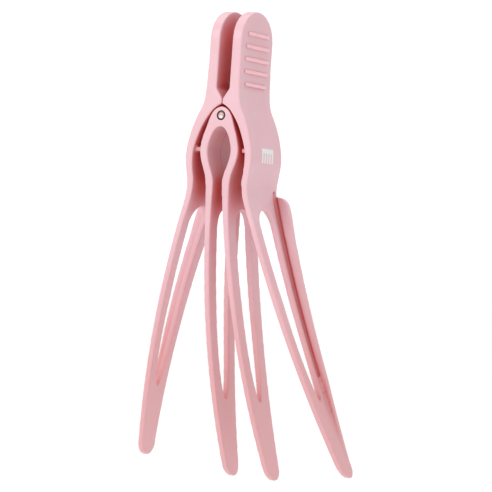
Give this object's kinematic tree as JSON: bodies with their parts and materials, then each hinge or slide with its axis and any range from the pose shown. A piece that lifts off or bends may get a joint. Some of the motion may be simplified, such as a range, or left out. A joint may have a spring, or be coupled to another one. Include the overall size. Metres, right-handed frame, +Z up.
{
  "type": "sectioning hair clip",
  "caption": "Hair sectioning clip with slotted curved prongs, ribbed thumb pads, a flexing inner fork and a sprung hinge pin, shown squeezed open.",
  "frame": {"origin": "middle of the grip, halfway down the jaws and centred between them, 50 mm below the hinge pin", "axes": "+Z up to the thumb pads, +X the way the right jaws open, +Y from the front edges to the back edges, along the hinge pin"},
  "size_m": [0.0616, 0.0309, 0.118],
  "materials": {
    "pink_plastic": "satin",
    "steel": "satin"
  },
  "bodies": {
    "fork_crown": {"fork_crown": "pink_plastic", "pivot_pin": "steel", "torsion_spring": "steel"},
    "left_lever": {"left_lever": "pink_plastic"},
    "right_lever": {"right_lever": "pink_plastic"},
    "left_ring_arm": {"left_ring_arm": "pink_plastic"},
    "left_ring_foot": {"left_ring_foot": "pink_plastic"},
    "left_inner_leg": {"left_inner_leg": "pink_plastic"},
    "right_ring_arm": {"right_ring_arm": "pink_plastic"},
    "right_ring_foot": {"right_ring_foot": "pink_plastic"},
    "right_inner_leg": {"right_inner_leg": "pink_plastic"}
  },
  "joints": [
    {"name": "left_lever_hinge", "type": "hinge", "parent": "fork_crown", "child": "left_lever", "pos_m": [0, 0, 0.05], "axis": [0, -1, 0], "range_deg": [0, 14], "stiffness_Nm_per_rad": 0.12, "springref_deg": 35, "deforming": ["torsion_spring"]},
    {"name": "left_shoulder_flex", "type": "hinge", "parent": "fork_crown", "child": "left_ring_arm", "pos_m": [-0.0029, 0, 0.046], "axis": [0, -1, 0], "range_deg": [0, 22.24]},
    {"name": "left_bow_flex", "type": "hinge", "parent": "left_ring_arm", "child": "left_ring_foot", "pos_m": [-0.00435, 0, 0.041], "axis": [0, 1, 0], "range_deg": [0, 28.61]},
    {"name": "left_neck_flex", "type": "hinge", "parent": "left_ring_foot", "child": "left_inner_leg", "pos_m": [-0.0023, 0, 0.033], "axis": [0, -1, 0], "range_deg": [0, 9.57]},
    {"name": "right_lever_hinge", "type": "hinge", "parent": "fork_crown", "child": "right_lever", "pos_m": [0, 0, 0.05], "axis": [0, 1, 0], "range_deg": [0, 14], "stiffness_Nm_per_rad": 0.12, "springref_deg": 35},
    {"name": "right_shoulder_flex", "type": "hinge", "parent": "fork_crown", "child": "right_ring_arm", "pos_m": [0.0029, 0, 0.046], "axis": [0, 1, 0], "range_deg": [0, 22.24]},
    {"name": "right_bow_flex", "type": "hinge", "parent": "right_ring_arm", "child": "right_ring_foot", "pos_m": [0.00435, 0, 0.041], "axis": [0, -1, 0], "range_deg": [0, 28.61]},
    {"name": "right_neck_flex", "type": "hinge", "parent": "right_ring_foot", "child": "right_inner_leg", "pos_m": [0.0023, 0, 0.033], "axis": [0, 1, 0], "range_deg": [0, 9.57]}
  ],
  "couplings": [
    {"joint": "left_shoulder_flex", "follows": "left_lever_hinge", "ratio": 1.588},
    {"joint": "left_bow_flex", "follows": "left_lever_hinge", "ratio": 2.043},
    {"joint": "left_neck_flex", "follows": "left_lever_hinge", "ratio": 0.683},
    {"joint": "right_shoulder_flex", "follows": "right_lever_hinge", "ratio": 1.588},
    {"joint": "right_bow_flex", "follows": "right_lever_hinge", "ratio": 2.043},
    {"joint": "right_neck_flex", "follows": "right_lever_hinge", "ratio": 0.683}
  ]
}
